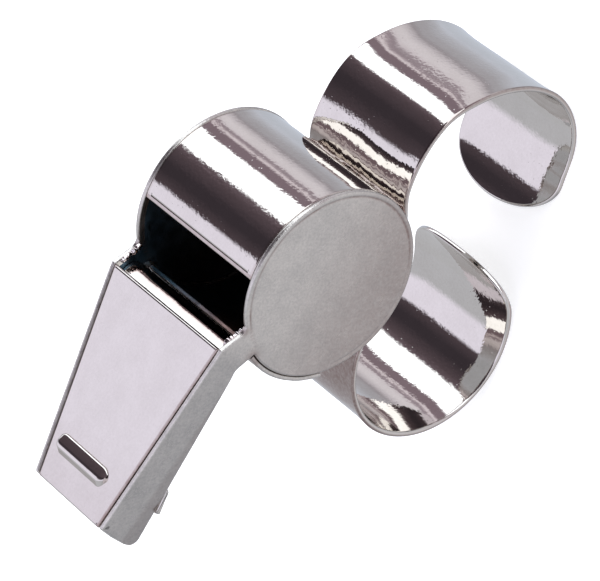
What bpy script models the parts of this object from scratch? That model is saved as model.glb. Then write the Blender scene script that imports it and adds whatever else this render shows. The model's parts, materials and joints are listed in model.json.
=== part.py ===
"""Finger-grip training whistle: a plated sheet-metal pea whistle with two open finger loops.

Every piece is drawn in the whistle's own frame, in millimetres: the barrel's axis is Y through
the origin, +X points away from the mouth and +Z is the normal of the flat mouthpiece roof. One
empty then turns and lifts the whole whistle so that it stands on its two finger loops, with the
middle of its box's base at the world origin.
"""
from math import atan2, cos, degrees, hypot, pi, radians, sin, tan

import bmesh
import bpy
from mathutils import Matrix, Vector

MM = 0.001

# Driving dimensions, in millimetres and degrees.
CHEEK_R = 10.5           # radius of the round cheek discs
HALF_WIDTH = 9.7         # barrel axis centre plane to a cheek's outer face
CHEEK_T = 0.55           # cheek sheet
BAND_R = 10.4            # outer radius of the barrel wall
BAND_T = 0.5
SEAM = 0.05              # clearance left between soldered sheets
SOUNDING_EDGE = 99.5     # angle of the edge that the air jet meets
BAND_END = -210.5        # angle of the barrel wall's other end, under the mouthpiece

ROOF_Z = 9.94            # top of the flat mouthpiece roof
ROOF_T = 0.55
WINDOW_X = -9.4          # roof edge at the window
MOUTH_X = -32.2          # roof edge at the mouth
SIDE_TAPER = 9.1         # each side wall leans in by this towards the mouth
WALL_FOLD_X = -9.4       # where a cheek's sheet folds into the mouthpiece wall
FLOOR_T = 0.5
FLOOR_MOUTH = (-32.9, 3.9)     # underside of the mouthpiece at the mouth
FLOOR_NECK = (-12.3, 6.2)      # underside where it starts to rise to the barrel
NECK = (-11.1, 6.35)
NECK_ANGLE = 149.5       # where the underside meets the cheek disc
FLANGE_END = 207.0       # the floor's flange is lapped round the barrel to this angle
FLANGE_T = 0.5

GRIP_T = 0.6             # finger-grip strip
GRIP_HALF = 8.15
FOOT_R = 10.8            # strip's middle surface where it follows the barrel
REAR_ANGLE = -48.6       # barrel angle where the rear loop leaves
REAR_R = 10.55           # middle surface of the rear loop
REAR_CORNER = -81.0      # loop angle where the rear tongue starts to narrow
REAR_TONGUE = 27.0       # angle that the rear tongue covers
# The rear loop isn't quite round: how far it stands outside its circle, by angle.
REAR_SHAPE = ((-75.0, 0.0), (-64.0, 0.38), (-50.0, 0.78), (-35.0, 0.85), (-20.0, 0.68), (-8.0, 0.38),
              (4.0, 0.1), (16.0, -0.15), (30.0, -0.28), (42.0, -0.28), (52.0, -0.12), (62.0, 0.02),
              (72.0, -0.05), (85.0, -0.15), (98.0, -0.12), (110.0, 0.0))
FRONT_ANGLE = -102.9
FRONT_R = 10.1
FRONT_CORNER = 304.0
FRONT_TONGUE = 31.0

PEA_R = 4.5
PEA_GAP = 0.35           # pea to the inside of the barrel wall

STEP = 5.0               # degrees between the flats of a curved sheet


def clear_scene():
    for obj in list(bpy.data.objects):
        bpy.data.objects.remove(obj, do_unlink=True)


def material(name, colour, roughness, metallic):
    mat = bpy.data.materials.new(name)
    mat.use_nodes = True
    shader = mat.node_tree.nodes["Principled BSDF"]
    shader.inputs["Base Color"].default_value = (*colour, 1.0)
    shader.inputs["Roughness"].default_value = roughness
    shader.inputs["Metallic"].default_value = metallic
    return mat


def place(name, bm, mat, frame):
    """Turns a bmesh drawn in millimetres into a named object under the whistle's frame."""
    bmesh.ops.scale(bm, vec=(MM, MM, MM), verts=bm.verts)
    bmesh.ops.recalc_face_normals(bm, faces=bm.faces)
    mesh = bpy.data.meshes.new(name)
    bm.to_mesh(mesh)
    bm.free()
    mesh.shade_smooth()
    mesh.set_sharp_from_angle(angle=radians(35))
    mesh.materials.append(mat)
    obj = bpy.data.objects.new(name, mesh)
    bpy.context.scene.collection.objects.link(obj)
    obj.parent = frame
    return obj


def polar(radius, angle, centre=(0.0, 0.0)):
    return (centre[0] + radius * cos(radians(angle)), centre[1] + radius * sin(radians(angle)))


def arc(radius, start, end, centre=(0.0, 0.0), step=STEP):
    """Points of an arc in the XZ plane, both ends included."""
    count = max(1, round(abs(end - start) / step))
    return [polar(radius, start + (end - start) * i / count, centre) for i in range(count + 1)]


def smooth_path(corners, per_span):
    """A Catmull-Rom curve through the corners."""
    ends = [corners[0], *corners, corners[-1]]
    points = []
    for a, b, c, d in zip(ends, ends[1:], ends[2:], ends[3:]):
        for i in range(per_span):
            t = i / per_span
            points.append(tuple(
                0.5 * (2 * b[k] + (c[k] - a[k]) * t + (2 * a[k] - 5 * b[k] + 4 * c[k] - d[k]) * t * t
                       + (3 * b[k] - a[k] - 3 * c[k] + d[k]) * t ** 3)
                for k in range(2)))
    return points + [corners[-1]]


def prism(outline, low, high):
    """A closed outline in XZ, pulled along Y from low to high."""
    bm = bmesh.new()
    face = bm.faces.new([bm.verts.new((x, low, z)) for x, z in outline])
    pulled = bmesh.ops.extrude_face_region(bm, geom=[face])["geom"]
    moved = [v for v in pulled if isinstance(v, bmesh.types.BMVert)]
    bmesh.ops.translate(bm, vec=(0, high - low, 0), verts=moved)
    return bm


def bent_sheet(path, thickness, half_widths):
    """A sheet whose middle surface follows path in XZ, with a half width at each of its points."""
    bm = bmesh.new()
    rings = []
    for i, (x, z) in enumerate(path):
        before = path[max(i - 1, 0)]
        after = path[min(i + 1, len(path) - 1)]
        run = hypot(after[0] - before[0], after[1] - before[1])
        side_x, side_z = -(after[1] - before[1]) / run, (after[0] - before[0]) / run
        ring = []
        for side, y in ((0.5, -1), (0.5, 1), (-0.5, 1), (-0.5, -1)):
            offset = side * thickness
            ring.append(bm.verts.new((x + side_x * offset, y * half_widths[i], z + side_z * offset)))
        rings.append(ring)
    for first, second in zip(rings, rings[1:]):
        for k in range(4):
            bm.faces.new((first[k], first[(k + 1) % 4], second[(k + 1) % 4], second[k]))
    bm.faces.new(reversed(rings[0]))
    bm.faces.new(rings[-1])
    bmesh.ops.remove_doubles(bm, verts=bm.verts, dist=1e-4)
    return bm


def wall_lean(x):
    """How far a side wall has moved in at x."""
    return max(0.0, (WALL_FOLD_X - x) * tan(radians(SIDE_TAPER)))


def inside_walls(x, gap=SEAM):
    return HALF_WIDTH - CHEEK_T - wall_lean(x) - gap


def underside(x):
    """Height of the mouthpiece's straight underside at x."""
    share = (x - FLOOR_MOUTH[0]) / (FLOOR_NECK[0] - FLOOR_MOUTH[0])
    return FLOOR_MOUTH[1] + share * (FLOOR_NECK[1] - FLOOR_MOUTH[1])


def make_barrel_band(mat, frame):
    path = arc(BAND_R - BAND_T / 2, SOUNDING_EDGE, BAND_END)
    half = HALF_WIDTH - CHEEK_T - SEAM
    return place("barrel_band", bent_sheet(path, BAND_T, [half] * len(path)), mat, frame)


def cheek_outline():
    """One cheek: the disc, the window notch and the mouthpiece's side wall."""
    window_foot = polar(CHEEK_R, 128)
    notch = smooth_path([window_foot, (-7.3, 8.35), (-8.5, 9.3), (WINDOW_X, ROOF_Z)], 3)
    mouth_lip = [(MOUTH_X, ROOF_Z), (-32.9, 7.9), (-33.5, 5.6)]
    mouth_corner = arc(1.0, 190, 265, centre=(-32.6, 4.9), step=15)
    neck = [FLOOR_NECK, NECK, (-10.2, 5.8)]
    disc = arc(CHEEK_R, NECK_ANGLE, 360 + 128, step=STEP)[:-1]
    return notch + mouth_lip + mouth_corner + neck + disc


def make_cheek(name, side, mat, frame):
    bm = prism(cheek_outline(), HALF_WIDTH - CHEEK_T, HALF_WIDTH)
    bmesh.ops.bisect_plane(
        bm, geom=[*bm.verts, *bm.edges, *bm.faces],
        plane_co=(WALL_FOLD_X, 0, 0), plane_no=(1, 0, 0))
    for vert in bm.verts:
        beyond_disc = hypot(vert.co.x, vert.co.z) > CHEEK_R + 0.01
        vert.co.y = side * (vert.co.y - (wall_lean(vert.co.x) if beyond_disc else 0.0))
    obj = place(name, bm, mat, frame)
    rim = obj.modifiers.new("rolled_rim", "BEVEL")
    rim.width = 0.15 * MM
    rim.segments = 2
    rim.limit_method = "ANGLE"
    rim.angle_limit = radians(50)
    return obj


def make_roof(mat, frame):
    stations = [MOUTH_X + 0.05, -22.0, WINDOW_X - 0.05]
    path = [(x, ROOF_Z - ROOF_T / 2) for x in stations]
    widths = [inside_walls(x, gap) for x, gap in zip(stations, (0.18, 0.1, SEAM))]
    return place("mouthpiece_roof", bent_sheet(path, ROOF_T, widths), mat, frame)


def make_floor(mat, frame):
    rise = FLOOR_T / 2
    under = [FLOOR_MOUTH, FLOOR_NECK, NECK, (-9.05, 5.85)]
    path = [(x, z + rise) for x, z in under]
    floor = place("mouthpiece_floor", bent_sheet(path, FLOOR_T, [inside_walls(x) for x, _ in path]),
                  mat, frame)
    middle = CHEEK_R + 0.08 + FLANGE_T / 2
    tuck = arc(middle, NECK_ANGLE - 4.5, NECK_ANGLE + 2.0)
    lap = arc(middle, NECK_ANGLE + 2.6, FLANGE_END)
    widths = [inside_walls(0)] * len(tuck) + [HALF_WIDTH - 0.1] * len(lap)
    flange = place("floor_flange_tool", bent_sheet(tuck + lap, FLANGE_T, widths), mat, frame)
    flange.hide_render = True
    flange.display_type = "WIRE"
    join = floor.modifiers.new("lapped_flange", "BOOLEAN")
    join.operation = "UNION"
    join.solver = "EXACT"
    join.object = flange
    return floor


def make_windway(mat, frame):
    """The inner sheet that guides the air: a ramp, a flat run under the roof and a curled lip."""
    thickness = 0.45
    ramp = smooth_path([(-27.4, 5.4), (-25.2, 5.75), (-20.0, 7.35), (-17.0, 8.0), (-14.0, 8.18)], 3)
    flat_end = (-9.1, 8.2)
    lip = arc(0.95, 90, 0, centre=(flat_end[0], flat_end[1] - 0.95), step=15)
    leg = (flat_end[0] + 0.95, 6.5)
    path = ramp + lip + [leg]
    widths = [inside_walls(x) for x, _ in path]
    return place("windway_plate", bent_sheet(path, thickness, widths), mat, frame)


def make_lugs(mat, frame):
    seat = ROOF_Z + 0.03
    ridge = [(-26.6, seat), (-26.75, seat + 0.18), (-27.75, seat + 0.62), (-28.1, seat + 0.62),
             (-28.7, seat + 0.16), (-28.9, seat)]
    upper = place("upper_tooth_lug", prism(ridge, -3.3, 4.6), mat, frame)
    near, far = -26.2, -29.8
    below = [(near, underside(near) - SEAM), (far, underside(far) - SEAM),
             (far + 0.5, underside(far) - 0.3), (near - 0.6, underside(near) - 0.95),
             (near - 0.1, underside(near) - 0.8)]
    half = HALF_WIDTH - wall_lean(near) - 0.1
    lower = place("lower_tooth_lug", prism(below, -half, half), mat, frame)
    for obj, width in ((upper, 0.22), (lower, 0.15)):
        rounding = obj.modifiers.new("worn_edges", "BEVEL")
        rounding.width = width * MM
        rounding.segments = 2
        rounding.limit_method = "ANGLE"
        rounding.angle_limit = radians(60)
        rounding.use_clamp_overlap = True


def loop_centres():
    """Each loop touches the strip's foot from outside, so the centres follow from the radii."""
    return polar(FOOT_R + REAR_R, REAR_ANGLE), polar(FOOT_R + FRONT_R, FRONT_ANGLE)


def outside_circle(angle):
    """How far the rear loop stands outside its circle at an angle."""
    curve = smooth_path(REAR_SHAPE, 6)
    for (start, low), (end, high) in zip(curve, curve[1:]):
        if start <= angle <= end:
            return low + (high - low) * (angle - start) / (end - start)
    return 0.0


def tongue(radius, start, sweep, centre, count=9):
    """Points and half widths of a free end that narrows as half an ellipse."""
    points = []
    widths = []
    for i in range(1, count + 1):
        turn = pi / 2 * i / count
        points.append(polar(radius, start + sweep * sin(turn), centre))
        widths.append(GRIP_HALF * cos(turn) if i < count else 0.0)
    return points, widths


def make_grip(mat, frame):
    """One strip: rear tongue, rear loop, foot under the barrel, front loop, front tongue."""
    rear, front = loop_centres()
    rear_tip, rear_widths = tongue(REAR_R, REAR_CORNER, -REAR_TONGUE, rear)
    front_tip, front_widths = tongue(FRONT_R, FRONT_CORNER, FRONT_TONGUE, front)
    turns = round((REAR_ANGLE + 180 - REAR_CORNER) / STEP)
    angles = [REAR_CORNER + (REAR_ANGLE + 180 - REAR_CORNER) * i / turns for i in range(turns + 1)]
    rear_loop = [polar(REAR_R + outside_circle(angle), angle, rear) for angle in angles]
    foot = arc(FOOT_R, REAR_ANGLE, FRONT_ANGLE)[1:-1]
    front_loop = arc(FRONT_R, FRONT_ANGLE + 180, FRONT_CORNER, front)
    body = rear_loop + foot + front_loop
    path = rear_tip[::-1] + body + front_tip
    widths = rear_widths[::-1] + [GRIP_HALF] * len(body) + front_widths
    return place("finger_grip", bent_sheet(path, GRIP_T, widths), mat, frame)


def make_grip_solder(name, leave, loop_radius, centre, turn, mat, frame):
    """The fillet in the groove where a loop leaves the barrel; turn says which way it opens."""
    reach = 14.0
    clear = 0.05
    on_barrel = arc(BAND_R + clear, leave + turn * 4.0, leave + turn * reach, step=2.5)
    back = leave + 180
    outer = loop_radius + GRIP_T / 2 + clear
    on_loop = arc(outer, back - turn * reach, back - turn * 4.0, centre, step=2.5)
    half = GRIP_HALF + 0.55
    return place(name, prism(on_barrel + on_loop, -half, half), mat, frame)


def make_window_solder(name, side, mat, frame):
    """The bead that seals the windway plate's lip to a cheek, along the notch."""
    outline = [(-8.75, 8.62), (-8.3, 8.45), (-7.4, 7.85), (-6.9, 7.75), (-7.0, 7.35), (-7.6, 7.2),
               (-7.8, 7.5), (-8.05, 8.0), (-8.4, 8.45)]
    face = HALF_WIDTH - CHEEK_T - 0.03
    low, high = sorted((side * face, side * (face - 0.6)))
    return place(name, prism(outline, low, high), mat, frame)


def make_pea(mat, frame):
    """The cork pea, at the lowest point of the barrel when the whistle stands."""
    bm = bmesh.new()
    bmesh.ops.create_icosphere(bm, subdivisions=3, radius=PEA_R)
    orbit = BAND_R - BAND_T - PEA_GAP - PEA_R
    down = -pi / 2 + standing_tilt()
    obj = place("cork_pea", bm, mat, None)
    obj.parent = frame
    shift = Matrix.Translation(Vector((orbit * cos(down), 0, orbit * sin(down))) * MM)
    obj.data.transform(shift)
    return obj


def standing_tilt():
    """The turn about Y that brings the bottoms of both loops level."""
    rear, front = loop_centres()
    run, rise = rear[0] - front[0], rear[1] - front[1]
    level = atan2(rise, run)
    drop = (REAR_R - FRONT_R) / hypot(run, rise)
    return level - drop


def stand(frame):
    """Turns the whistle onto its loops and puts the middle of its base at the origin."""
    frame.rotation_euler = (0, standing_tilt(), 0)
    bpy.context.view_layer.update()
    corners = [obj.matrix_world @ Vector(corner) for obj in frame.children if not obj.hide_render
               for corner in (vert.co for vert in obj.data.vertices)]
    low = [min(c[k] for c in corners) for k in range(3)]
    high = [max(c[k] for c in corners) for k in range(3)]
    frame.location = (-(low[0] + high[0]) / 2, -(low[1] + high[1]) / 2, -low[2])
    bpy.context.view_layer.update()


def main():
    clear_scene()
    plated = material("nickel_plate", (0.72, 0.70, 0.71), 0.12, 1.0)
    matte = material("nickel_plate_satin", (0.62, 0.62, 0.60), 0.35, 1.0)
    solder = material("solder", (0.66, 0.64, 0.63), 0.25, 1.0)
    cork = material("cork", (0.42, 0.24, 0.12), 0.85, 0.0)
    frame = bpy.data.objects.new("whistle_frame", None)
    bpy.context.scene.collection.objects.link(frame)

    make_barrel_band(plated, frame)
    make_cheek("left_cheek", -1, matte, frame)
    make_cheek("right_cheek", 1, matte, frame)
    make_roof(plated, frame)
    make_floor(plated, frame)
    make_windway(plated, frame)
    make_lugs(plated, frame)
    make_grip(plated, frame)
    rear, front = loop_centres()
    make_grip_solder("rear_grip_solder", REAR_ANGLE, REAR_R, rear, 1, solder, frame)
    make_grip_solder("front_grip_solder", FRONT_ANGLE, FRONT_R, front, -1, solder, frame)
    make_window_solder("left_window_solder", -1, solder, frame)
    make_window_solder("right_window_solder", 1, solder, frame)
    make_pea(cork, frame)
    stand(frame)
    print("standing tilt in degrees:", round(degrees(standing_tilt()), 3))
    print("frame location:", [round(v / MM, 4) for v in frame.location])


main()
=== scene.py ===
"""Looks of the finger-grip training whistle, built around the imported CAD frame.

Every visual piece is drawn in the whistle's own frame, in millimetres: the barrel's axis is Y
through the origin, +X points away from the mouth and +Z is the normal of the flat mouthpiece roof.
The pea's joint gives where that axis lies in the CAD frame, and the two finger loops that the
whistle stands on give its tilt. Sheet pieces are cut flat, with rounded edges, then bent.
"""
import json
from math import atan2, cos, hypot, pi, radians, sin, tan

import bmesh
import bpy
import numpy as np
from mathutils import Matrix, Vector, noise
from mathutils.geometry import delaunay_2d_cdt

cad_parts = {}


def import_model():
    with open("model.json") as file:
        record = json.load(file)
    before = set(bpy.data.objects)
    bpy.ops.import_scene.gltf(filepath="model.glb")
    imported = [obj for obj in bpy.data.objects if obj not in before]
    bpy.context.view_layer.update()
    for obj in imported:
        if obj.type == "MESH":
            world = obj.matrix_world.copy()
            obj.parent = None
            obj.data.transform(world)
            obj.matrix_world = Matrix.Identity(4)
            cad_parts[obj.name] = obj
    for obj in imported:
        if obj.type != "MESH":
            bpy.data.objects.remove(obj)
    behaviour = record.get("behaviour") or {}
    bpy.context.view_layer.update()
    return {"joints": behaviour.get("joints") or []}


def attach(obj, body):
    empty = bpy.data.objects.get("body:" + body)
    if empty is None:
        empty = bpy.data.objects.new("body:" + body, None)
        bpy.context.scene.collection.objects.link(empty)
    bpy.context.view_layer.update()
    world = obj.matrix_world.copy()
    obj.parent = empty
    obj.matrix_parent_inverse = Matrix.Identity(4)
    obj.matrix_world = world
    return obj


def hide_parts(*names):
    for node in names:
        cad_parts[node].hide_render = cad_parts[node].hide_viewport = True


MM = 0.001
PATINA_AND_SHADE = (0.30, 0.215, 0.195)      # colour of dirt and tarnish in grooves, and of the painted shade in corners, seams and the dark chamber

# The CAD model's driving dimensions, in millimetres and in degrees about the barrel's axis.
CHEEK_R = 10.5           # the cheeks' round discs
HALF_WIDTH = 9.7         # from the middle plane to a cheek's outer face
CHEEK_T = 0.55
BAND_R = 10.4            # outside of the rolled barrel wall
BAND_T = 0.5
SEAM = 0.05              # clearance between soldered sheets
SOUNDING_EDGE = 99.5     # angle of the barrel wall's edge at the window
BAND_END = -210.5        # and of its other end, under the mouthpiece
ROOF_Z = 9.94            # top of the mouthpiece's flat roof
ROOF_T = 0.55
WINDOW_X = -9.4          # the roof's end at the window
WINDOW_FOOT = 128        # angle where the cheeks' discs meet the window's notch
MOUTH_X = -32.2          # and at the mouth
SIDE_TAPER = 9.1         # each mouthpiece wall leans in by this towards the mouth
FLOOR_T = 0.5
FLOOR_MOUTH = (-32.9, 3.9)     # underside of the mouthpiece at the mouth
FLOOR_NECK = (-12.3, 6.2)      # underside where it starts to rise to the barrel
NECK = (-11.1, 6.35)
NECK_ANGLE = 149.5       # where the underside meets the cheek disc
FLANGE_END = 207.0       # the floor's flange is lapped round the barrel to this angle
FLANGE_T = 0.5
GRIP_T = 0.6
GRIP_HALF = 8.15         # half the width of the finger grip's strip
FOOT_R = 10.8            # middle of the strip where it follows the barrel
REAR_ANGLE = -48.6       # where the rear loop leaves the barrel
REAR_R = 10.55
REAR_CORNER = -81.0      # loop angle where the free end starts to narrow to a tongue
REAR_TONGUE = 27.0       # angle that the tongue covers
# The rear loop isn't quite round: how far it stands outside its circle, by angle.
REAR_SHAPE = ((-75.0, 0.0), (-64.0, 0.38), (-50.0, 0.78), (-35.0, 0.85), (-20.0, 0.68), (-8.0, 0.38),
              (4.0, 0.1), (16.0, -0.15), (30.0, -0.28), (42.0, -0.28), (52.0, -0.12), (62.0, 0.02),
              (72.0, -0.05), (85.0, -0.15), (98.0, -0.12), (110.0, 0.0))
FRONT_ANGLE = -102.9     # the same for the front loop
FRONT_R = 10.1
FRONT_CORNER = 304.0
FRONT_TONGUE = 31.0
PEA_R = 4.5
PEA_GAP = 0.35           # between the pea and the barrel wall

# The camera, in degrees and millimetres, aimed near the middle of the barrel.
VIEW_AZIMUTH = -61.22
VIEW_ELEVATION = 41.35
VIEW_ROLL = 91.34
VIEW_DISTANCE = 414.6
VIEW_AIM = (-3.71, -3.92, -1.87)
LENS = 244.85

# The studio around the whistle, as tones by angle about the barrel's axis, seen in polished plate.
# Each band runs from its first angle to its second in one tone, and fades into the next.
STUDIO = (
    (-180, -140, (172, 170, 171)),
    (-120, -120, (178, 178, 180)),
    (-100, -60, (176, 178, 184)),
    (-50, -50, (180, 181, 188)),
    (-44, -44, (172, 171, 176)),
    (-38, -38, (165, 163, 167)),
    (-32, -27, (158, 154, 157)),
    (-21, -21, (148, 141, 144)),
    (-15, -15, (186, 178, 181)),
    (-9, -3, (203, 195, 197)),
    (0, 0, (196, 186, 189)),
    (2, 2, (138, 125, 130)),
    (5, 5, (150, 136, 141)),
    (8, 8, (216, 204, 206)),
    (11, 22, (121, 105, 111)),
    (24, 50.5, (300, 300, 300)),
    (54, 54, (100, 86, 91)),
    (61, 61, (78, 66, 70)),
    (78, 88, (52, 45, 49)),
    (102, 102, (72, 61, 65)),
    (105, 134, (219, 212, 221)),
    (142, 180, (174, 172, 174)),
)
STUDIO_BACKGROUND = (0.96, 0.96, 0.97, 1.0)  # what the camera sees past the table
FRONT_TONE = (188, 183, 183)       # the table in front, which the flat cheeks reflect
SIDE_TONE = (146, 144, 147)        # further left, which the tapered mouthpiece wall reflects
BELOW_TONE = (138, 139, 142)       # and straight below
PLATE_REFLECTS = (0.69, 0.652, 0.614)  # warm nickel: a second reflection turns brown


WELD = 2e-7                # metres: points nearer than this are one
SHARP = 48                 # degrees: a mesh edge that turns by more stays sharp
EDGE_STEPS = 4             # facets in a plate's rounded edge
CORNER_STEPS = 5           # and in a rounded corner of its outline


# ---------------------------------------------------------------- plane geometry

def polar(radius, angle, centre=(0.0, 0.0)):
    return (centre[0] + radius * cos(radians(angle)), centre[1] + radius * sin(radians(angle)))


def arc(radius, start, end, centre=(0.0, 0.0), step=1.5):
    """Points of an arc in a plane, both ends included."""
    count = max(1, round(abs(end - start) / step))
    return [polar(radius, start + (end - start) * i / count, centre) for i in range(count + 1)]


def smooth_path(corners, per_span):
    """A Catmull-Rom curve through the corners."""
    ends = [corners[0], *corners, corners[-1]]
    points = []
    for a, b, c, d in zip(ends, ends[1:], ends[2:], ends[3:]):
        for i in range(per_span):
            t = i / per_span
            points.append(tuple(
                0.5 * (2 * b[k] + (c[k] - a[k]) * t + (2 * a[k] - 5 * b[k] + 4 * c[k] - d[k]) * t * t
                       + (3 * b[k] - a[k] - 3 * c[k] + d[k]) * t ** 3)
                for k in range(2)))
    return points + [corners[-1]]


def round_corners(outline, radius, least_turn=20.0):
    """Replaces each corner that turns by least_turn degrees or more with a small curve."""
    points = [Vector(p) for p in outline]
    result = []
    for before, here, after in zip(points[-1:] + points[:-1], points, points[1:] + points[:1]):
        back, ahead = before - here, after - here
        if abs(180 - np.degrees(back.angle(ahead))) < least_turn:
            result.append(tuple(here))
            continue
        reach = min(radius, back.length * 0.45, ahead.length * 0.45)
        start, end = here + back.normalized() * reach, here + ahead.normalized() * reach
        for i in range(CORNER_STEPS + 1):
            t = i / CORNER_STEPS
            result.append(tuple(start * (1 - t) ** 2 + here * 2 * t * (1 - t) + end * t * t))
    return result


def densify(outline, spacing):
    """Adds points so that no side of the closed outline is longer than spacing."""
    result = []
    for a, b in zip(outline, outline[1:] + outline[:1]):
        length = hypot(b[0] - a[0], b[1] - a[1])
        if length < 1e-6:
            continue
        count = max(1, int(np.ceil(length / spacing)))
        result += [(a[0] + (b[0] - a[0]) * i / count, a[1] + (b[1] - a[1]) * i / count)
                   for i in range(count)]
    return np.array(result)


def inset(outline, distance):
    """The closed outline (anticlockwise) moved inwards."""
    sides = np.roll(outline, -1, axis=0) - outline
    sides /= np.linalg.norm(sides, axis=1)[:, None]
    inward = np.stack([-sides[:, 1], sides[:, 0]], axis=1)
    mitre = inward + np.roll(inward, 1, axis=0)
    mitre /= np.maximum((mitre * inward).sum(axis=1), 0.3)[:, None]
    return outline + mitre * distance


def signed_area(outline):
    x, y = outline[:, 0], outline[:, 1]
    return 0.5 * float((x * np.roll(y, -1) - np.roll(x, -1) * y).sum())


def inside_points(outline, spacing):
    """A square grid of points inside the outline, clear of its edge."""
    low, high = outline.min(axis=0) + spacing * 0.5, outline.max(axis=0)
    us, vs = np.meshgrid(np.arange(low[0], high[0], spacing), np.arange(low[1], high[1], spacing))
    grid = np.stack([us.ravel(), vs.ravel()], axis=1)
    crossings = np.zeros(len(grid), int)
    clear = np.ones(len(grid), bool)
    for a, b in zip(outline, np.roll(outline, -1, axis=0)):
        rising = (a[1] > grid[:, 1]) != (b[1] > grid[:, 1])
        at = a[0] + (grid[:, 1] - a[1]) / (b[1] - a[1] if b[1] != a[1] else 1e-9) * (b[0] - a[0])
        crossings += rising & (grid[:, 0] < at)
        clear &= np.hypot(grid[:, 0] - a[0], grid[:, 1] - a[1]) > spacing * 0.6
    return grid[(crossings % 2 == 1) & clear]


# ---------------------------------------------------------------- whistle frame to CAD frame

def loop_centres():
    return polar(FOOT_R + REAR_R, REAR_ANGLE), polar(FOOT_R + FRONT_R, FRONT_ANGLE)


def standing_tilt():
    """The turn about Y at which the bottoms of both loops are level."""
    rear, front = loop_centres()
    run, rise = rear[0] - front[0], rear[1] - front[1]
    return atan2(rise, run) - (REAR_R - FRONT_R) / hypot(run, rise)


def whistle_matrix(frame):
    """From the whistle's frame in millimetres to the CAD frame in metres."""
    centre = Vector(frame["joints"][0]["pos_m"])
    return Matrix.Translation(centre) @ Matrix.Rotation(standing_tilt(), 4, "Y") @ Matrix.Scale(MM, 4)


# ---------------------------------------------------------------- mesh building

def edge_rings(outline, half, edge, lines):
    """Rings from the outline inwards, over its rounded edge and at lines, with their heights."""
    turns = [pi / 2 * i / EDGE_STEPS for i in range(EDGE_STEPS + 1)]
    places = [(edge * (1 - cos(a)), half - edge + edge * sin(a)) for a in turns]
    places += [(distance, half) for distance in (edge + 0.05, *lines)]
    return [(inset(outline, distance), height) for distance, height in places]


def fill(ring, spacing):
    """Triangles over the inside of a ring: points, faces, and where the ring's own points are."""
    flat = [Vector(p) for p in np.vstack([ring, inside_points(ring, spacing)])]
    points, _, faces, origins, _, _ = delaunay_2d_cdt(flat, [], [list(range(len(ring)))], 1, 1e-7)
    place_of = {source: out for out, sources in enumerate(origins) for source in sources}
    return np.array([tuple(v) for v in points]), faces, [place_of[i] for i in range(len(ring))]


class Builder:
    """Makes pieces and puts them in the frame: it holds the whistle's matrix."""

    def __init__(self, matrix):
        self.matrix = matrix

    def piece(self, name, points, faces, materials, body, nodes, slot, back_faces=(), patina_and_shade=None):
        """One visual piece, with a share of tarnish, dirt and painted shade at each point."""
        mesh = bpy.data.meshes.new(name)
        mesh.from_pydata([tuple(p) for p in points], [], faces)
        if patina_and_shade is not None:
            layer = mesh.attributes.new("patina_and_shade", "FLOAT", "POINT")
            layer.data.foreach_set("value", np.asarray(patina_and_shade, np.float32))
        for finish in materials:
            mesh.materials.append(finish)
        if len(materials) > 1:
            marks = np.zeros(len(faces), np.int32)
            marks[list(back_faces)] = 1
            mesh.polygons.foreach_set("material_index", marks)
        mesh.transform(self.matrix)
        bm = bmesh.new()
        bm.from_mesh(mesh)
        bmesh.ops.remove_doubles(bm, verts=bm.verts, dist=WELD)
        bmesh.ops.recalc_face_normals(bm, faces=bm.faces)
        bm.to_mesh(mesh)
        bm.free()
        mesh.shade_smooth()
        mesh.set_sharp_from_angle(angle=radians(SHARP))
        obj = bpy.data.objects.new(name, mesh)
        bpy.context.scene.collection.objects.link(obj)
        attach(obj, body)
        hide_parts(*nodes)

    def plate(self, name, outline, thickness, edge, bend, spacing, materials, nodes, slot,
              relief=None, patina_and_shade=None, dark_edge=False, lines=()):
        """A flat plate with rounded edges, put in place by bend(u, v, height off its middle).

        relief and the share of tarnish, dirt and painted shade take u, v and height too. The second
        material is for the back, and with dark_edge for the rim as well. lines are distances in from
        the edge at which the mesh gets extra rings, for fine relief.
        """
        outline = densify([tuple(p) for p in outline], spacing)
        if signed_area(outline) < 0:
            outline = outline[::-1].copy()
        half = thickness / 2
        edge = min(edge, half)
        rings = edge_rings(outline, half, edge, lines)
        top, tris, rim = fill(rings[-1][0], spacing)
        ring_size, total = len(rim), len(top)
        layers, ring_ids = [(top, half)], [rim]
        lower = [(ring, -height) for ring, height in rings[:-1]]
        if half - edge < 1e-6:
            lower = lower[1:]
        for ring, height in rings[-2::-1] + lower:
            layers.append((ring, height))
            ring_ids.append(list(range(total, total + ring_size)))
            total += ring_size
        layers.append((top, -half))
        ring_ids.append([total + i for i in rim])
        uv = np.vstack([points for points, _ in layers])
        heights = np.concatenate([np.full(len(points), height) for points, height in layers])
        faces = [tuple(t) for t in tris]
        side_rows = len(rings) - 1 if dark_edge else len(ring_ids) - 1
        first_back = len(tris) + ring_size * side_rows
        for first, second in zip(ring_ids, ring_ids[1:]):
            for i in range(ring_size):
                j = (i + 1) % ring_size
                faces.append((first[i], first[j], second[j], second[i]))
        faces += [tuple(total + v for v in reversed(t)) for t in tris]
        back = range(first_back, len(faces))
        stain_and_shade = None if patina_and_shade is None else patina_and_shade(uv[:, 0], uv[:, 1], heights)
        if relief is not None:
            heights = heights + relief(uv[:, 0], uv[:, 1], heights)
        points = np.stack(bend(uv[:, 0], uv[:, 1], heights), axis=1)
        self.piece(name, points, faces, materials, "whistle", nodes, slot, back, stain_and_shade)

    def loft(self, name, rings, materials, nodes, slot):
        """A closed body through rings of as many points each."""
        size = len(rings[0])
        points = [p for ring in rings for p in ring]
        faces = []
        for k in range(len(rings) - 1):
            for i in range(size):
                j = (i + 1) % size
                faces.append((k * size + i, k * size + j, (k + 1) * size + j, (k + 1) * size + i))
        faces.append(tuple(reversed(range(size))))
        faces.append(tuple(range((len(rings) - 1) * size, len(rings) * size)))
        self.piece(name, points, faces, materials, "whistle", nodes, slot)


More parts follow.
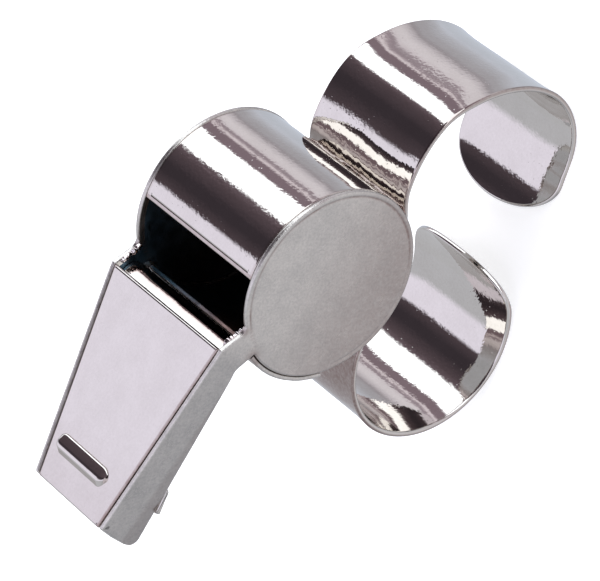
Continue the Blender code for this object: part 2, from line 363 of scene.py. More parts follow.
def ripples(us, vs, scale, seed=0.0):
    """Smooth noise over a sheet, from -1 to 1, with features of about 1 / scale millimetres."""
    return np.array([noise.noise(Vector((u * scale + seed, v * scale - seed, 0.0)))
                     for u, v in zip(us, vs)])


def smooth_step(value, low, high):
    t = np.clip((value - low) / (high - low), 0, 1)
    return t * t * (3 - 2 * t)


def along(path):
    """bend() for a plate whose u runs along path in XZ and whose v is Y, and the path's length."""
    path = np.array(path)
    steps = np.hypot(*np.diff(path, axis=0).T)
    keep = np.concatenate([[True], steps > 1e-6])
    path = path[keep]
    at = np.concatenate([[0], np.cumsum(steps[keep[1:]])])
    tangent = np.gradient(path, at, axis=0)
    tangent /= np.linalg.norm(tangent, axis=1)[:, None]

    def bend(u, v, height):
        x, z = np.interp(u, at, path[:, 0]), np.interp(u, at, path[:, 1])
        tx, tz = np.interp(u, at, tangent[:, 0]), np.interp(u, at, tangent[:, 1])
        size = np.hypot(tx, tz)
        return x - tz / size * height, v, z + tx / size * height

    return bend, at[-1]


def wall_lean(x):
    """How far a side wall has moved in at x, with a soft fold."""
    fold = 0.35
    past = (WINDOW_X - 0.4 - x) / fold
    soft = np.where(past > 30, past, np.log1p(np.exp(np.minimum(past, 30)))) * fold
    return soft * tan(radians(SIDE_TAPER))


def inside_walls(x, gap=SEAM):
    return HALF_WIDTH - CHEEK_T - max(0.0, WINDOW_X - x) * tan(radians(SIDE_TAPER)) - gap


def underside(x):
    share = (x - FLOOR_MOUTH[0]) / (FLOOR_NECK[0] - FLOOR_MOUTH[0])
    return FLOOR_MOUTH[1] + share * (FLOOR_NECK[1] - FLOOR_MOUTH[1])


# ---------------------------------------------------------------- materials

class Nodes:
    """Short calls for building one material's or world's node tree."""

    def __init__(self, tree):
        self.tree = tree

    def add(self, kind, inputs=(), **settings):
        node = self.tree.nodes.new(kind)
        for key, value in settings.items():
            setattr(node, key, value)
        for socket, value in dict(inputs).items():
            if isinstance(value, bpy.types.NodeSocket):
                self.tree.links.new(value, node.inputs[socket])
            else:
                node.inputs[socket].default_value = value
        return node

    def math(self, operation, first, second=0.0, third=0.0):
        inputs = {0: first, 1: second}
        if operation == "MULTIPLY_ADD":
            inputs[2] = third
        return self.add("ShaderNodeMath", inputs, operation=operation).outputs[0]

    def millimetres(self):
        where = self.add("ShaderNodeTexCoord").outputs["Object"]
        return self.add("ShaderNodeVectorMath", {0: where, "Scale": 1 / MM},
                        operation="SCALE").outputs[0]

    def noise(self, where, scale, detail=2.0, roughness=0.5):
        inputs = {"Vector": where, "Scale": scale, "Detail": detail, "Roughness": roughness}
        return self.add("ShaderNodeTexNoise", inputs).outputs["Fac"]

    def span(self, value, low, high, to_low, to_high):
        inputs = {"Value": value, "From Min": low, "From Max": high, "To Min": to_low,
                  "To Max": to_high}
        return self.add("ShaderNodeMapRange", inputs).outputs["Result"]

    def blend(self, share, first, second):
        node = self.add("ShaderNodeMix", data_type="RGBA")
        for socket, value in ((node.inputs[0], share), (node.inputs[6], first),
                              (node.inputs[7], second)):
            if isinstance(value, bpy.types.NodeSocket):
                self.tree.links.new(value, socket)
            else:
                socket.default_value = value
        return node.outputs[2]

    def stretched(self, where, scale, turn):
        inputs = {"Vector": where, "Scale": scale, "Rotation": turn}
        return self.add("ShaderNodeMapping", inputs).outputs[0]


def new_material(name):
    finish = bpy.data.materials.new(name)
    finish.use_nodes = True
    return finish, Nodes(finish.node_tree), finish.node_tree.nodes["Principled BSDF"]


def metal_colour(nodes, where, light, dark, speck_share, across):
    """Broad patches and fine specks of two tints, under a broken stain of tarnish, dirt and painted
    shade.
    """
    patches = nodes.noise(where, 0.35, 4.0, 0.6)
    if across:
        side = nodes.add("ShaderNodeSeparateXYZ", {0: where}).outputs["Y"]
        mixed = nodes.span(nodes.math("MULTIPLY_ADD", patches, 9.0, side), 8.5, -0.5, 0.0, 1.0)
    else:
        broad = nodes.math("MULTIPLY", patches, 1 - speck_share)
        specks = nodes.noise(where, 3.4, 2.0, 0.7)
        mixed = nodes.math("MULTIPLY_ADD", specks, speck_share, broad)
        mixed = nodes.span(mixed, 0.38, 0.62, 0.0, 1.0)
    colour = nodes.blend(mixed, (*dark, 1.0), (*light, 1.0))
    stain_and_shade = nodes.add("ShaderNodeAttribute", attribute_name="patina_and_shade").outputs["Fac"]
    broken = nodes.span(nodes.noise(where, 2.2, 4.0, 0.7), 0.30, 0.60, 0.62, 1.0)
    return nodes.blend(nodes.math("MULTIPLY", stain_and_shade, broken), colour, (*PATINA_AND_SHADE, 1.0))


def metal_height(nodes, where, peel, grain, waves, pimples, scratches):
    """Orange peel that is stronger in places, slow waves, small round pimples and fine scratches."""
    uneven = nodes.span(nodes.noise(where, 0.22, 1.0), 0.35, 0.65, 0.35, 1.5)
    height = nodes.math("MULTIPLY", nodes.noise(where, grain, 1.0), peel)
    height = nodes.math("MULTIPLY", height, uneven)
    height = nodes.math("MULTIPLY_ADD", nodes.noise(where, 0.55, 2.0), waves, height)
    if pimples:
        dots = nodes.add("ShaderNodeTexVoronoi", {"Vector": where, "Scale": 1.4}).outputs["Distance"]
        height = nodes.math("ADD", height, nodes.span(dots, 0.12, 0.03, 0.0, pimples))
    if scratches:
        streaks = nodes.noise(nodes.stretched(where, (7.0, 1.6, 7.0), (0.3, 0.9, 0.5)), 1.0, 2.0)
        height = nodes.math("ADD", height, nodes.span(streaks, 0.66, 0.74, 0.0, -scratches))
    return height


def metal(name, light, dark, smooth, rough, peel, waves, pimples=0.0, scratches=0.0, grain=2.6,
          speck_share=0.45, across=False):
    """Plated metal, tinted from dark to light in patches and specks, and darkened by tarnish, dirt and
    painted shade.

    Its roughness runs from smooth to rough. Peel (of that grain), waves, pimples and scratches are
    heights in millimetres. With across, the tint goes from light at the near cheek to dark at the
    far one.
    """
    finish, nodes, shader = new_material(name)
    where = nodes.millimetres()
    colour = metal_colour(nodes, where, light, dark, speck_share, across)
    height = metal_height(nodes, where, peel, grain, waves, pimples, scratches)
    bump = nodes.add("ShaderNodeBump", {"Height": height, "Distance": MM, "Strength": 1.0})
    roughness = nodes.span(nodes.noise(where, 0.8, 5.0, 0.65), 0.35, 0.65, smooth, rough)
    shader.inputs["Metallic"].default_value = 1.0
    nodes.tree.links.new(colour, shader.inputs["Base Color"])
    nodes.tree.links.new(roughness, shader.inputs["Roughness"])
    nodes.tree.links.new(bump.outputs["Normal"], shader.inputs["Normal"])
    return finish


def cork_material():
    finish, nodes, shader = new_material("cork")
    where = nodes.millimetres()
    cells = nodes.add("ShaderNodeTexVoronoi", {"Vector": where, "Scale": 2.4}).outputs["Distance"]
    grains = nodes.noise(where, 1.3, 6.0, 0.7)
    tint = nodes.math("MULTIPLY_ADD", cells, 0.5, nodes.math("MULTIPLY", grains, 0.6))
    ramp = nodes.add("ShaderNodeValToRGB", {"Fac": tint})
    ramp.color_ramp.elements[0].position = 0.25
    ramp.color_ramp.elements[0].color = (0.16, 0.065, 0.028, 1.0)
    ramp.color_ramp.elements[1].position = 0.75
    ramp.color_ramp.elements[1].color = (0.55, 0.31, 0.16, 1.0)
    height = nodes.math("MULTIPLY", tint, 0.25)
    bump = nodes.add("ShaderNodeBump", {"Height": height, "Distance": MM, "Strength": 0.8})
    nodes.tree.links.new(ramp.outputs["Color"], shader.inputs["Base Color"])
    nodes.tree.links.new(nodes.span(grains, 0.3, 0.7, 0.75, 0.95), shader.inputs["Roughness"])
    nodes.tree.links.new(bump.outputs["Normal"], shader.inputs["Normal"])
    return finish


def make_materials():
    light, dark = (0.71, 0.672, 0.634), (0.66, 0.622, 0.584)
    return {
        "plate": metal("polished_nickel", light, dark, smooth=0.02, rough=0.06, peel=0.008,
                       waves=0.008, pimples=0.006),
        "flat_plate": metal("flat_polished_nickel", light, dark, smooth=0.04, rough=0.10, peel=0.004,
                            waves=0.006),
        "satin": metal("satin_nickel", (0.74, 0.705, 0.66), (0.58, 0.56, 0.53), smooth=0.26,
                       rough=0.38, peel=0.010, waves=0.006, scratches=0.004, grain=4.0,
                       speck_share=0.6),
        # The chamber's inside: tarnish, and painted shade for the dark chamber, darker towards the far
        # cheek.
        "inside": metal("tarnished_and_shaded_inside", (0.34, 0.23, 0.21), (0.08, 0.13, 0.17), smooth=0.35,
                        rough=0.6, peel=0.01, waves=0.02, across=True),
        "solder": metal("soft_solder", (0.80, 0.755, 0.75), (0.60, 0.50, 0.475), smooth=0.08,
                        rough=0.30, peel=0.020, waves=0.05, pimples=0.02, grain=1.8),
        "cork": cork_material(),
    }


# ---------------------------------------------------------------- pieces

def strip(length, half):
    """The outline of a plain strip, that far to each side of its middle line."""
    return [(0, -half), (length, -half), (length, half), (0, half)]


def make_barrel(build, finish):
    """The rolled wall of the sound chamber, from the sounding edge round to the neck."""
    bend, length = along(arc(BAND_R - BAND_T / 2, SOUNDING_EDGE, BAND_END, step=0.6))
    half = HALF_WIDTH - CHEEK_T - SEAM

    def relief(u, v, height):
        """Ends that flare a little, slow waves, and a shallow score along the sounding edge."""
        flare = 0.03 * smooth_step(np.abs(v), half - 1.4, half)
        score = 0.07 * np.exp(-((u - 0.5) / 0.06) ** 2) + 0.04 * smooth_step(-u, -0.5, -0.3)
        return flare - np.where(height > 0, score, 0.0) + 0.005 * ripples(u, v, 0.22, 3.0)

    def patina_and_shade(u, v, height):
        edge_strip = 0.5 * smooth_step(-u, -0.6, -0.4)
        return 0.3 * smooth_step(np.abs(v), half - 0.4, half - 0.1) + edge_strip

    build.plate("barrel_wall", strip(length, half), BAND_T, 0.12, bend, 0.3,
                [finish["plate"], finish["inside"]], ["barrel_band"], "nickel_plate", relief, patina_and_shade,
                dark_edge=True, lines=(0.25, 0.34, 0.42, 0.5, 0.58, 0.68))


def cheek_outline():
    """The disc and the mouthpiece's side wall, in one sheet, with the window's notch."""
    window_foot = polar(CHEEK_R, WINDOW_FOOT)
    notch = smooth_path([window_foot, (-7.3, 8.35), (-8.5, 9.3), (WINDOW_X, ROOF_Z)], 6)
    mouth_lip = [(MOUTH_X, ROOF_Z), (-32.9, 7.9), (-33.5, 5.6)]
    mouth_corner = arc(1.0, 190, 265, centre=(-32.6, 4.9), step=10)
    neck = smooth_path([(-14.5, underside(-14.5)), (-12.3, 6.24), (-11.2, 6.38), (-10.1, 5.9)], 5)
    disc = arc(CHEEK_R, NECK_ANGLE, 360 + WINDOW_FOOT)[:-1]
    return notch + mouth_lip + mouth_corner + neck + disc


def make_cheek(build, name, node, side, finish):
    """One side: side is -1 for the near cheek and 1 for its mirror image."""
    middle = HALF_WIDTH - CHEEK_T / 2
    crease = ROOF_Z - 3.55          # height at which the side wall's sheet turns in
    groove_r = CHEEK_R - 0.6

    def relief(u, v, height):
        """A pressed groove just inside the disc's rim, and slow dents."""
        rim = np.hypot(u, v)
        on_disc = smooth_step(u, -8.6, -7.4)
        groove = -0.05 * np.exp(-((rim - groove_r) / 0.09) ** 2) * on_disc
        return np.where(height > 0, groove, 0.0) + 0.006 * ripples(u, v, 0.3, 5.0 * side)

    def patina_and_shade(u, v, height):
        """Dirt in the rim's groove, painted shade in the neck's corner, and painted shade on the lower
        wall.
        """
        rim = np.hypot(u, v)
        wall = smooth_step(-u, 10.5, 14.0)
        ring = 0.95 * np.exp(-((rim - groove_r) / 0.10) ** 2) * smooth_step(u, -8.6, -7.4)
        groove_dirt_and_low_disc = ring * (0.75 + 0.5 * ripples(u, v, 0.5, 3.0)) * smooth_step(u + v, -9.0, 2.0)
        # The disc is also made darker towards its bottom.
        groove_dirt_and_low_disc += 0.50 * smooth_step(-v, -7.0, 9.0) * (1 - wall)
        # Painted shade: the wall under the crease is darkened.
        low_wall = 0.30 * wall * smooth_step(crease - v, -0.15, 0.25)
        # Painted shade in the corner where the mouthpiece's underside meets the disc.
        corner = 0.7 * np.exp(-(np.hypot(u + 9.3, v - 5.5) / 0.8) ** 2)
        notch = 0.6 * np.exp(-(np.hypot(u + 6.9, v - 8.0) / 0.5) ** 2)
        return np.clip(groove_dirt_and_low_disc + low_wall + corner + notch, 0, 1)

    def bend(u, v, height):
        beyond = smooth_step(np.hypot(u, v), CHEEK_R - 0.1, CHEEK_R + 0.7)
        tuck = 0.11 * np.maximum(crease - v, 0.0) * smooth_step(-u, 11.5, 15.0)
        return u, side * (middle + height - (wall_lean(u) + tuck) * beyond), v

    build.plate(name, round_corners(cheek_outline(), 0.2, 30.0), CHEEK_T, 0.24, bend, 0.3,
                [finish["satin"], finish["inside"]], [node], "satin_nickel", relief, patina_and_shade,
                lines=(0.4, 0.5, 0.6, 0.7, 0.8))


def make_roof(build, finish):
    window, mouth = WINDOW_X - 0.05, MOUTH_X - 0.1
    near, far = inside_walls(window), inside_walls(MOUTH_X + 0.05, 0.12)
    outline = round_corners([(mouth, -far), (window, -near), (window, near), (mouth, far)], 0.12)

    def bend(u, v, height):
        sag = 0.012 * ripples(u, v, 0.18, 9.0)
        return u, v, ROOF_Z - ROOF_T / 2 + height + sag

    def patina_and_shade(u, v, height):
        """Dark lines along both seams, dirt with painted shade for the shadowed gap by each cheek, and a
        duller end at the mouth.
        """
        share = (WINDOW_X - u) / (WINDOW_X - MOUTH_X)
        seam = near + (far - near) * share
        return 0.8 * smooth_step(np.abs(v), seam - 0.3, seam - 0.1) + 0.12 * smooth_step(share, 0.6, 1.0)

    build.plate("mouthpiece_roof_plate", outline, ROOF_T, 0.24, bend, 0.5,
                [finish["flat_plate"], finish["inside"]], ["mouthpiece_roof"], "nickel_plate",
                patina_and_shade=patina_and_shade)


def make_floor(build, finish):
    """The plate under the mouthpiece, and its flange lapped round the front of the barrel."""
    rise = FLOOR_T / 2
    under = [FLOOR_MOUTH] + smooth_path([(-14.0, underside(-14.0)), FLOOR_NECK, NECK,
                                         (-9.7, 5.75), (-9.2, 5.15)], 6)
    bend, length = along([(x, z + rise) for x, z in under])
    outline = []
    for side in (-1, 1):
        edge = [(0.0, side * inside_walls(-32.9)), (length - 1.9, side * inside_walls(-11.1)),
                (length, side * inside_walls(-9.2))]
        outline += edge if side < 0 else edge[::-1]
    build.plate("mouthpiece_floor_plate", outline, FLOOR_T, 0.15, bend, 0.5,
                [finish["inside"], finish["satin"]], ["mouthpiece_floor"], "nickel_plate")
    middle = CHEEK_R + 0.08 + FLANGE_T / 2
    bend, length = along(arc(middle, NECK_ANGLE + 0.6, FLANGE_END, step=0.8)[::-1])
    half = HALF_WIDTH - 0.1

    def relief(u, v, height):
        return 0.03 * ripples(u, v, 0.6, 2.0) + 0.015 * ripples(u, v, 2.0, 4.0)

    def patina_and_shade(u, v, height):
        """Painted shade towards the neck, in the corner under the mouthpiece, and mottled."""
        near_neck = 0.75 * smooth_step(u, length - 3.0, length)
        return np.clip(near_neck + 0.35 * ripples(u, v, 1.6), 0, 1)

    build.plate("floor_flange", strip(length, half), FLANGE_T, 0.18, bend, 0.3, [finish["satin"]],
                ["mouthpiece_floor"], "satin_nickel", relief, patina_and_shade)


def make_windway(build, finish):
    """The inner sheet that guides the air: a ramp, a flat run and a lip that rolls down."""
    thickness, tuck_r, tuck_from, tuck_to, foot_z = 0.45, 0.8, 46, -5, 6.4
    path = smooth_path([(-27.4, 5.4), (-25.2, 5.75), (-20.0, 7.3), (-17.0, 8.0), (-14.0, 8.3)], 6)
    path.append((-10.3, 8.5))
    # The lip's radii, their first and last angles, and the degrees between points.
    lip = ((0.7, 90, 60, 3), (4.2, 60, tuck_from, 1.5), (tuck_r, tuck_from, tuck_to, 3))
    for radius, start, end, step in lip:
        path += arc(radius, start, end, polar(-radius, start, path[-1]), step)
    tuck_end = path[-1]
    path.append((tuck_end[0] - 0.02, foot_z))
    bend, length = along(path)
    tuck_start = length - tuck_r * radians(tuck_from - tuck_to) - (tuck_end[1] - foot_z)
    near, far, straight = inside_walls(-9.0), inside_walls(-27.4), length * 0.86
    outline = [(0, -far), (straight, -near), (length, -near), (length, near), (straight, near), (0, far)]

    def relief(u, v, height):
        return 0.02 * ripples(u, v, 0.5, 7.0) * smooth_step(u, length - 3.5, length - 2.0)

    def patina_and_shade(u, v, height):
        """Tarnish and painted shade where the lip turns down into the dark chamber."""
        return smooth_step(u, tuck_start - 0.7, tuck_start)

    build.plate("windway_lip", outline, thickness, 0.15, bend, 0.22, [finish["plate"]],
                ["windway_plate"], "nickel_plate", relief, patina_and_shade)


def make_upper_ridge(build, finish):
    """The bar on the roof: a long slope to the window, a short one to the mouth, rounded ends."""
    seat = ROOF_Z - 0.02
    profile = round_corners([(-26.7, seat), (-26.85, seat + 0.2), (-27.85, seat + 0.62),
                             (-28.35, seat + 0.64), (-28.8, seat + 0.2), (-29.05, seat)], 0.16)
    middle, half, end_length = 0.65, 4.15, 0.8
    heart = -27.6                   # the ends narrow towards this
    stations = 24                   # on each side of the middle, closer together at the ends
    rings = []
    for i in range(-stations, stations + 1):
        y = half * sin(pi / 2 * i / stations)
        end = max(0.0, (abs(y) - half + end_length) / end_length)
        narrow, low = 1 - 0.5 * end ** 2, 1 - 0.45 * end ** 3
        rings.append([(heart + (x - heart) * narrow, y + middle, seat + (z - seat) * low)
                      for x, z in profile])
    build.loft("upper_tooth_ridge", rings, [finish["plate"]], ["upper_tooth_lug"], "nickel_plate")


def make_lower_ridge(build, finish):
    """The bar under the floor, as wide as the mouthpiece is there."""
    near, far = -26.3, -29.3
    profile = round_corners([(near, underside(near) + 0.02), (far, underside(far) + 0.02),
                             (far + 0.5, underside(far) - 0.2), (near - 0.6, underside(near) - 0.62),
                             (near - 0.1, underside(near) - 0.5)], 0.2)
    width = 2 * (HALF_WIDTH - (WINDOW_X - near) * tan(radians(SIDE_TAPER))) - 0.5

    def under(u, v, height):
        return u, height, v

    build.plate("lower_tooth_ridge", profile, width, 0.3, under, 0.25, [finish["satin"]],
                ["lower_tooth_lug"], "nickel_plate")


def outside_circle(angles):
    """How far the rear loop stands outside its circle at each angle."""
    at, extra = zip(*smooth_path(REAR_SHAPE, 12))
    return np.interp(angles, at, extra, left=0.0, right=0.0)


def grip_path():
    """The strip's middle line from the rear tongue's tip to the front tongue's tip."""
    rear, front = loop_centres()
    angles = np.arange(REAR_CORNER - REAR_TONGUE, REAR_ANGLE + 180, 0.6)
    rear_loop = [polar(REAR_R + extra, angle, rear)
                 for angle, extra in zip(angles, outside_circle(angles))]
    foot = arc(FOOT_R, REAR_ANGLE, FRONT_ANGLE, step=0.6)[1:-1]
    front_loop = arc(FRONT_R, FRONT_ANGLE + 180, FRONT_CORNER + FRONT_TONGUE, front, 0.6)
    return rear_loop + foot + front_loop


def make_grip(build, finish):
    """One strip with two rounded free ends, bent into both loops."""
    bend, length = along(grip_path())
    rear_end = radians(REAR_TONGUE) * REAR_R
    front_end = length - radians(FRONT_TONGUE) * FRONT_R
    outline = [(0.0, 0.0)]
    turns = [pi / 2 * i / 24 for i in range(1, 25)]
    outline += [(rear_end * (1 - cos(a)), -GRIP_HALF * sin(a)) for a in turns]
    outline += [(front_end + (length - front_end) * sin(a), -GRIP_HALF * cos(a) ** 0.9)
                for a in [0.0] + turns[:-1]] + [(length, 0.0)]
    outline += [(u, -v) for u, v in outline[-2:0:-1]]
    leaves_barrel = radians(REAR_ANGLE + 180 - REAR_CORNER + REAR_TONGUE) * REAR_R
    foot = radians(REAR_ANGLE - FRONT_ANGLE) * FOOT_R
    reaches_front = leaves_barrel + foot
    flare_width = 3.0

    def relief(u, v, height):
        """Edges that flare as a bent strip's do, slow waves, and solder that ran up the rear loop."""
        flare = 0.17 * np.maximum(np.abs(v) - GRIP_HALF + flare_width, 0.0) ** 2 / flare_width ** 2
        free = smooth_step(np.abs(u - leaves_barrel - foot / 2), foot / 2 + 1.0, foot / 2 + 4.0)
        waves = 0.008 * ripples(u, v, 0.2, 1.0)
        ran_up = smooth_step(u, leaves_barrel - 6.4, leaves_barrel - 3.6)
        ran_up = ran_up * (1 - smooth_step(u, leaves_barrel - 0.5, leaves_barrel + 0.5))
        run = 0.06 * ripples(u, v * 0.4, 0.5, 6.0) + 0.02 * ripples(u, v, 1.5, 2.0)
        return waves - flare * free - np.where(height < 0, 1.0, 0.0) * ran_up * run

    def patina_and_shade(u, v, height):
        """Outside only: stains by the rear solder, a dull start to the front loop, and dark rims."""
        stained = smooth_step(u, leaves_barrel - 4.4, leaves_barrel - 2.2)
        stained = stained * (1 - smooth_step(u, leaves_barrel, leaves_barrel + 0.8))
        stained = 0.30 * stained * (0.6 + 0.9 * ripples(u, v, 0.9, 8.0))
        dull = smooth_step(u, reaches_front, reaches_front + 2.0)
        dull = dull * (1 - smooth_step(u, reaches_front + 16.0, reaches_front + 22.0))
        rim = 0.6 * smooth_step(np.abs(v), GRIP_HALF - 0.28, GRIP_HALF - 0.14)
        return np.where(height < 0, np.maximum(stained + 0.95 * dull, rim), 0.0)

    build.plate("finger_grip_strip", outline, GRIP_T, 0.2, bend, 0.3, [finish["plate"]],
                ["finger_grip"], "nickel_plate", relief, patina_and_shade)


def eleven_of(points):
    """Eleven points spread over a longer list: every ring of a loft needs as many."""
    return [points[round(i * (len(points) - 1) / 10)] for i in range(11)]


def make_fillet(build, name, node, leave, loop_radius, centre, turn, finish):
    """Solder in the groove where a loop leaves the barrel, with an uneven front."""
    half = GRIP_HALF + 0.55         # it runs a little past the strip's edges
    taper = 0.5                     # length of its rounded ends
    back = leave + 180
    outer = loop_radius + GRIP_T / 2 + 0.02
    groove = Vector(polar(FOOT_R + 0.1, leave + turn * 6.5))
    stations, curve_steps = 110, 12
    rings = []
    for k in range(stations + 1):
        y = -half + 2 * half * k / stations
        end = 1 - min(1.0, (half - abs(y)) / taper)
        shrink = 1 - 0.75 * end ** 2
        wobble = noise.noise(Vector((y * 0.45, leave, 1.0)))
        wobble += 0.4 * noise.noise(Vector((y * 1.6, leave, 2.0)))
        reach = (14.2 + 0.7 * wobble) * shrink
        climb = (14.0 + 3.0 * noise.noise(Vector((y * 0.5, leave, 5.0)))) * shrink
        barrel = eleven_of(arc(BAND_R + 0.02, leave + turn * 3.0, leave + turn * reach, step=1.0))
        loop = eleven_of(arc(outer, back - turn * climb, back - turn * 3.0, centre, 1.0))
        start, finish_point = Vector(barrel[-1]), Vector(loop[0])
        radial = start.normalized()
        lip = start + radial * 0.30 - (start - groove).normalized() * 0.12
        meniscus = [tuple(start + radial * 0.16), tuple(lip)]
        for i in range(1, curve_steps):
            t = i / curve_steps
            point = lip * (1 - t) ** 2 + groove * 2 * t * (1 - t) + finish_point * t * t
            lump = 0.12 * noise.noise(Vector((point.x * 1.1, y * 0.7, point.y * 1.1 + leave)))
            lump += 0.07 * noise.noise(Vector((point.x * 2.6, y * 1.5, point.y * 2.6 + leave)))
            meniscus.append(tuple(point + radial * lump))
        rings.append([(x, y, z) for x, z in barrel + meniscus + loop])
    build.loft(name, rings, [finish["solder"]], [node], "solder")


def make_window_bead(build, name, node, side, finish):
    """The uneven bead between a cheek and the windway's lip, along the notch."""
    middle = side * (HALF_WIDTH - CHEEK_T - 0.12)
    path = smooth_path([(-9.1, 9.25), (-8.5, 8.95), (-7.8, 8.35), (-7.1, 8.0), (-6.7, 7.7)], 12)
    around, last = 14, len(path) - 1
    rings = []
    for k, (x, z) in enumerate(path):
        size = 0.34 + 0.16 * noise.noise(Vector((x * 3.1, side * 2.0, z * 3.1)))
        size *= 1 - 0.85 * abs(2 * k / last - 1) ** 6
        before, after = Vector(path[max(k - 1, 0)]), Vector(path[min(k + 1, last)])
        slope = (after - before).normalized()
        ring = []
        for i in range(around):
            turn = 2 * pi * i / around
            bulge = 1 + 0.25 * noise.noise(Vector((x * 2.5 + cos(turn), z * 2.5 + sin(turn), side)))
            out = size * bulge * sin(turn)
            ring.append((x - slope.y * out, middle + size * bulge * cos(turn) * 0.8, z + slope.x * out))
        rings.append(ring)
    build.loft(name, rings, [finish["solder"]], [node], "solder")


def make_pea(build, finish):
    """A turned cork ball with chips and pores, at the bottom of the barrel."""
    bm = bmesh.new()
    bmesh.ops.create_icosphere(bm, subdivisions=5, radius=PEA_R)
    orbit = BAND_R - BAND_T - PEA_GAP - PEA_R
    down = -pi / 2 + standing_tilt()
    pit_size, pit_slope, allowance = 0.28, 0.5, 0.06
    for vert in bm.verts:
        to_pit = noise.voronoi(vert.co * 0.9)[0][0]
        rough = noise.noise(vert.co * 1.1) * 0.05 + min(to_pit - pit_size, 0.0) * pit_slope
        vert.co = vert.co.normalized() * (PEA_R - allowance + rough)
    bmesh.ops.translate(bm, verts=bm.verts, vec=(orbit * cos(down), 0, orbit * sin(down)))
    bm.verts.index_update()
    points = [tuple(v.co) for v in bm.verts]
    faces = [tuple(v.index for v in f.verts) for f in bm.faces]
    bm.free()
    build.piece("cork_pea_ball", points, faces, [finish["cork"]], "pea", ["cork_pea"], "cork")


# ---------------------------------------------------------------- stage, studio and camera

def linear(value):
    value = value / 255
    return value / 12.92 if value <= 0.04045 else ((value + 0.055) / 1.055) ** 2.4


def radiance(tone):
    """What the studio must give for polished plate to show this tone."""
    return (*(linear(c) / r for c, r in zip(tone, PLATE_REFLECTS)), 1.0)


def studio_bands(nodes, share):
    """The tone at each share of a turn, from -180 to 180 degrees."""
    bands = nodes.add("ShaderNodeValToRGB", {"Fac": share})
    ramp = bands.color_ramp
    stops = [(edge, tone) for start, end, tone in STUDIO for edge in sorted({start, end})]
    ramp.elements[0].position, ramp.elements[0].color = 0.0, radiance(stops[0][1])
    ramp.elements[1].position, ramp.elements[1].color = 1.0, radiance(stops[-1][1])
    for edge, tone in stops[1:-1]:
        ramp.elements.new(edge / 360 + 0.5).color = radiance(tone)
    return bands.outputs["Color"]


def make_studio():
    """Bands of light around the barrel's axis, and a plain pale surround for the camera."""
    world = bpy.data.worlds.new("studio")
    bpy.context.scene.world = world
    world.use_nodes = True
    nodes = Nodes(world.node_tree)
    world.node_tree.nodes.clear()
    toward = nodes.add("ShaderNodeTexCoord").outputs["Generated"]
    parts = nodes.add("ShaderNodeSeparateXYZ", {0: toward}).outputs
    angle = nodes.math("ARCTAN2", parts["Z"], parts["X"])
    tilt = standing_tilt()
    turns = nodes.math("MULTIPLY_ADD", angle, 1 / (2 * pi), 0.5 + tilt / (2 * pi))
    share = nodes.math("FRACT", turns)
    bands = studio_bands(nodes, share)
    front = nodes.span(parts["Y"], -0.15, -0.45, 0.0, 1.0)
    below = nodes.span(parts["Z"], -0.10, -0.30, 0.0, 1.0)
    table = nodes.math("MULTIPLY", nodes.span(parts["Y"], 0.0, -0.2, 0.0, 1.0), below)
    left = nodes.span(parts["X"], -0.34, -0.62, 0.0, 1.0)
    ahead = nodes.blend(left, radiance(FRONT_TONE), radiance(SIDE_TONE))
    floor = nodes.blend(front, radiance(BELOW_TONE), ahead)
    seen = nodes.blend(table, bands, floor)
    to_camera = nodes.add("ShaderNodeLightPath").outputs["Is Camera Ray"]
    colour = nodes.blend(to_camera, seen, STUDIO_BACKGROUND)
    light = nodes.add("ShaderNodeBackground", {"Color": colour, "Strength": 1.0})
    out = nodes.add("ShaderNodeOutputWorld")
    nodes.tree.links.new(light.outputs[0], out.inputs["Surface"])


def make_floor_stage():
    """A plain pale table: the studio stands in for it in the whistle's own reflections."""
    size = 1.5
    mesh = bpy.data.meshes.new("pale_table")
    mesh.from_pydata([(-size, -size, 0), (size, -size, 0), (size, size, 0), (-size, size, 0)], [],
                     [(0, 1, 2, 3)])
    table = bpy.data.objects.new("pale_table", mesh)
    bpy.context.scene.collection.objects.link(table)
    finish, nodes, shader = new_material("pale_table")
    shader.inputs["Base Color"].default_value = (0.86, 0.86, 0.86, 1.0)
    shader.inputs["Roughness"].default_value = 0.9
    shader.inputs["Emission Color"].default_value = (1.0, 1.0, 1.0, 1.0)
    shader.inputs["Emission Strength"].default_value = 0.55
    mesh.materials.append(finish)
    table.visible_glossy = False


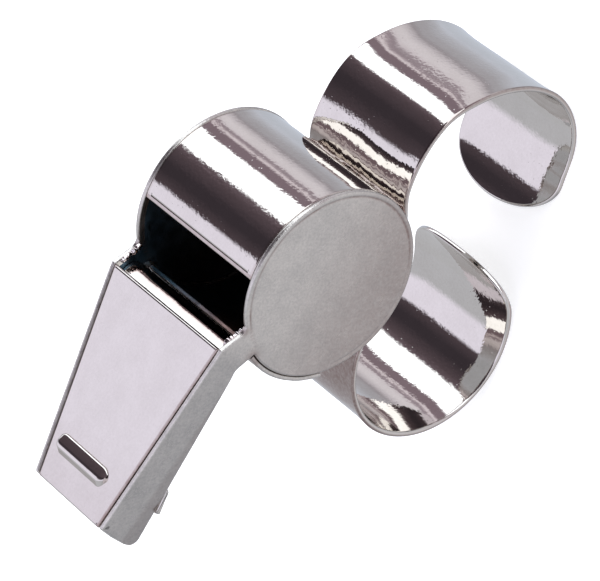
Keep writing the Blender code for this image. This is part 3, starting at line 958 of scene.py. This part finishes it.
def make_light(aim):
    """One soft box above, kept out of reflections, for the table and the cork."""
    lamp = bpy.data.lights.new("soft_box", "AREA")
    lamp.shape = "SQUARE"
    lamp.size = 0.5
    lamp.energy = 3.0
    obj = bpy.data.objects.new("soft_box", lamp)
    bpy.context.scene.collection.objects.link(obj)
    obj.location = aim + Vector((0.10, 0.15, 0.6))
    obj.rotation_euler = (aim - obj.location).to_track_quat("-Z", "Y").to_euler()
    obj.visible_glossy = False


def make_camera(axis_point):
    camera = bpy.data.objects.new("camera", bpy.data.cameras.new("camera"))
    bpy.context.scene.collection.objects.link(camera)
    azimuth, elevation = radians(VIEW_AZIMUTH), radians(VIEW_ELEVATION)
    back = Vector((cos(elevation) * cos(azimuth), cos(elevation) * sin(azimuth), sin(elevation)))
    aim = axis_point + Vector(VIEW_AIM) * MM
    level = back.to_track_quat("Z", "Y").to_matrix().to_4x4()
    camera.matrix_world = (Matrix.Translation(aim + back * VIEW_DISTANCE * MM) @ level
                           @ Matrix.Rotation(-radians(VIEW_ROLL), 4, "Z"))
    camera.data.lens = LENS
    camera.data.clip_start = 0.01
    bpy.context.scene.camera = camera


def main():
    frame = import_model()
    matrix = whistle_matrix(frame)
    build = Builder(matrix)
    finish = make_materials()

    make_barrel(build, finish)
    make_cheek(build, "near_cheek_plate", "left_cheek", -1, finish)
    make_cheek(build, "far_cheek_plate", "right_cheek", 1, finish)
    make_roof(build, finish)
    make_floor(build, finish)
    make_windway(build, finish)
    make_upper_ridge(build, finish)
    make_lower_ridge(build, finish)
    make_grip(build, finish)
    rear, front = loop_centres()
    make_fillet(build, "rear_solder_fillet", "rear_grip_solder", REAR_ANGLE, REAR_R, rear, 1, finish)
    make_fillet(build, "front_solder_fillet", "front_grip_solder", FRONT_ANGLE, FRONT_R, front, -1,
                finish)
    make_window_bead(build, "near_window_bead", "left_window_solder", -1, finish)
    make_window_bead(build, "far_window_bead", "right_window_solder", 1, finish)
    make_pea(build, finish)

    make_studio()
    make_floor_stage()
    make_light(matrix.translation)
    make_camera(matrix.translation)
    bpy.context.scene.view_settings.view_transform = "Standard"


main()
